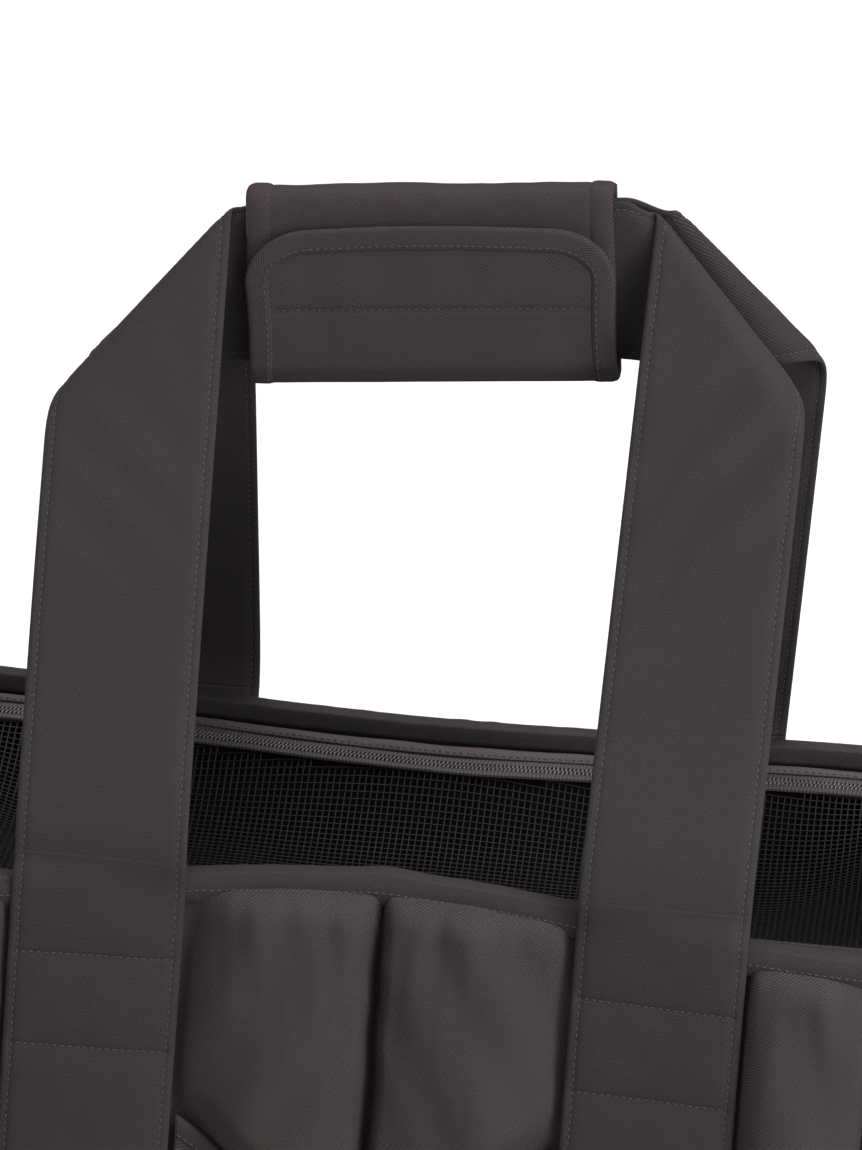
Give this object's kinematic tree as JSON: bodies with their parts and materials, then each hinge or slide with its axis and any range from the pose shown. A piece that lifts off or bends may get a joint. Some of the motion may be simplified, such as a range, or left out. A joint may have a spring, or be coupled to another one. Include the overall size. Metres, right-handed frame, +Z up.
{
  "type": "pet carrier",
  "caption": "Soft-sided pet carrier tote with a zipped mesh cover, two flat handles joined by a wrap-round grip, vent windows and a front pocket.",
  "frame": {"origin": "centre of the carrier's box, on the surface that it stands on", "axes": "+Z up, +X along the carrier to the right as seen from its front, -Y towards the front panel with the pocket"},
  "size_m": [0.441, 0.2457, 0.5107],
  "materials": {
    "twill": "padded charcoal polyester twill",
    "facing": "charcoal twill",
    "dark_binding": "bias-cut tape, stitched",
    "webbing": "folded twill strap, stitched along both edges",
    "mesh": "black coated net",
    "zip_tape": "woven tape",
    "zip_coil": "nylon coil",
    "zip_metal": "black painted",
    "hook_and_loop": "black hook and loop tape",
    "lining": "soft fleece",
    "board": "rigid board",
    "tether_webbing": "black webbing",
    "steel": "nickel plated"
  },
  "bodies": {
    "bag": {"base_panel": "dark_binding", "base_piping": "dark_binding", "front_wall": "twill", "rear_wall": "twill", "left_wall": "twill", "right_wall": "twill", "left_vent_mesh": "mesh", "right_vent_mesh": "mesh", "left_vent_binding": "dark_binding", "right_vent_binding": "dark_binding", "rim_binding": "dark_binding", "zip_facing": "facing", "hinge_facing": "facing", "body_zip_coil": "zip_coil", "body_zip_tape": "zip_tape", "zip_stop_left": "zip_coil", "zip_stop_right": "zip_coil", "front_left_strap": "webbing", "front_right_strap": "webbing", "rear_left_strap": "webbing", "rear_right_strap": "webbing", "front_pocket": "twill", "pocket_binding": "dark_binding", "tether_strap": "tether_webbing", "tether_eye": "steel", "front_handle": "webbing", "rear_handle": "webbing"},
    "cover": {"cover_mesh": "mesh", "cover_hem": "dark_binding", "cover_zip_coil": "zip_coil", "cover_zip_tape": "zip_tape"},
    "slider": {"zip_slider": "zip_metal"},
    "pull": {"zip_pull": "zip_metal"},
    "grip": {"grip_wrap": "twill", "grip_hook_tape": "hook_and_loop"},
    "flap": {"grip_flap": "twill", "flap_loop_tape": "hook_and_loop"},
    "liner": {"base_board": "board", "inner_mat": "lining"},
    "hook": {"tether_hook": "steel"},
    "gate": {"tether_gate": "steel"}
  },
  "joints": [
    {"name": "cover_open", "type": "hinge", "parent": "bag", "child": "cover", "pos_m": [0, -0.0785, 0.262], "axis": [1, 0, 0], "range_deg": [0, 58]},
    {"name": "grip_drop", "type": "slide", "parent": "bag", "child": "grip", "axis": [0, 0, 1], "range_m": [-0.1, 0], "deforming": ["front_handle", "rear_handle"]},
    {"name": "flap_open", "type": "hinge", "parent": "grip", "child": "flap", "pos_m": [-0.00198, -0.0121, 0.43865], "axis": [0.9954, 0, 0.0958], "range_deg": [0, 120]},
    {"name": "zip_slide", "type": "slide", "parent": "bag", "child": "slider", "axis": [0, 0.9986, 0.0523], "range_m": [0, 0.115]},
    {"name": "pull_flip", "type": "hinge", "parent": "slider", "child": "pull", "pos_m": [0.192, -0.06427, 0.26795], "axis": [-1, 0, 0], "range_deg": [0, 150]},
    {"name": "liner_lift", "type": "slide", "parent": "bag", "child": "liner", "axis": [0, 0, 1], "range_m": [0, 0.07]},
    {"name": "hook_swivel", "type": "hinge", "parent": "bag", "child": "hook", "pos_m": [-0.198, 0.0015, 0.148], "axis": [0, 0, 1], "continuous": true},
    {"name": "gate_open", "type": "hinge", "parent": "hook", "child": "gate", "pos_m": [-0.198, 0.012, 0.1222], "axis": [1, 0, 0], "range_deg": [0, 25], "stiffness_Nm_per_rad": 0.002, "springref_deg": -11.46}
  ]
}
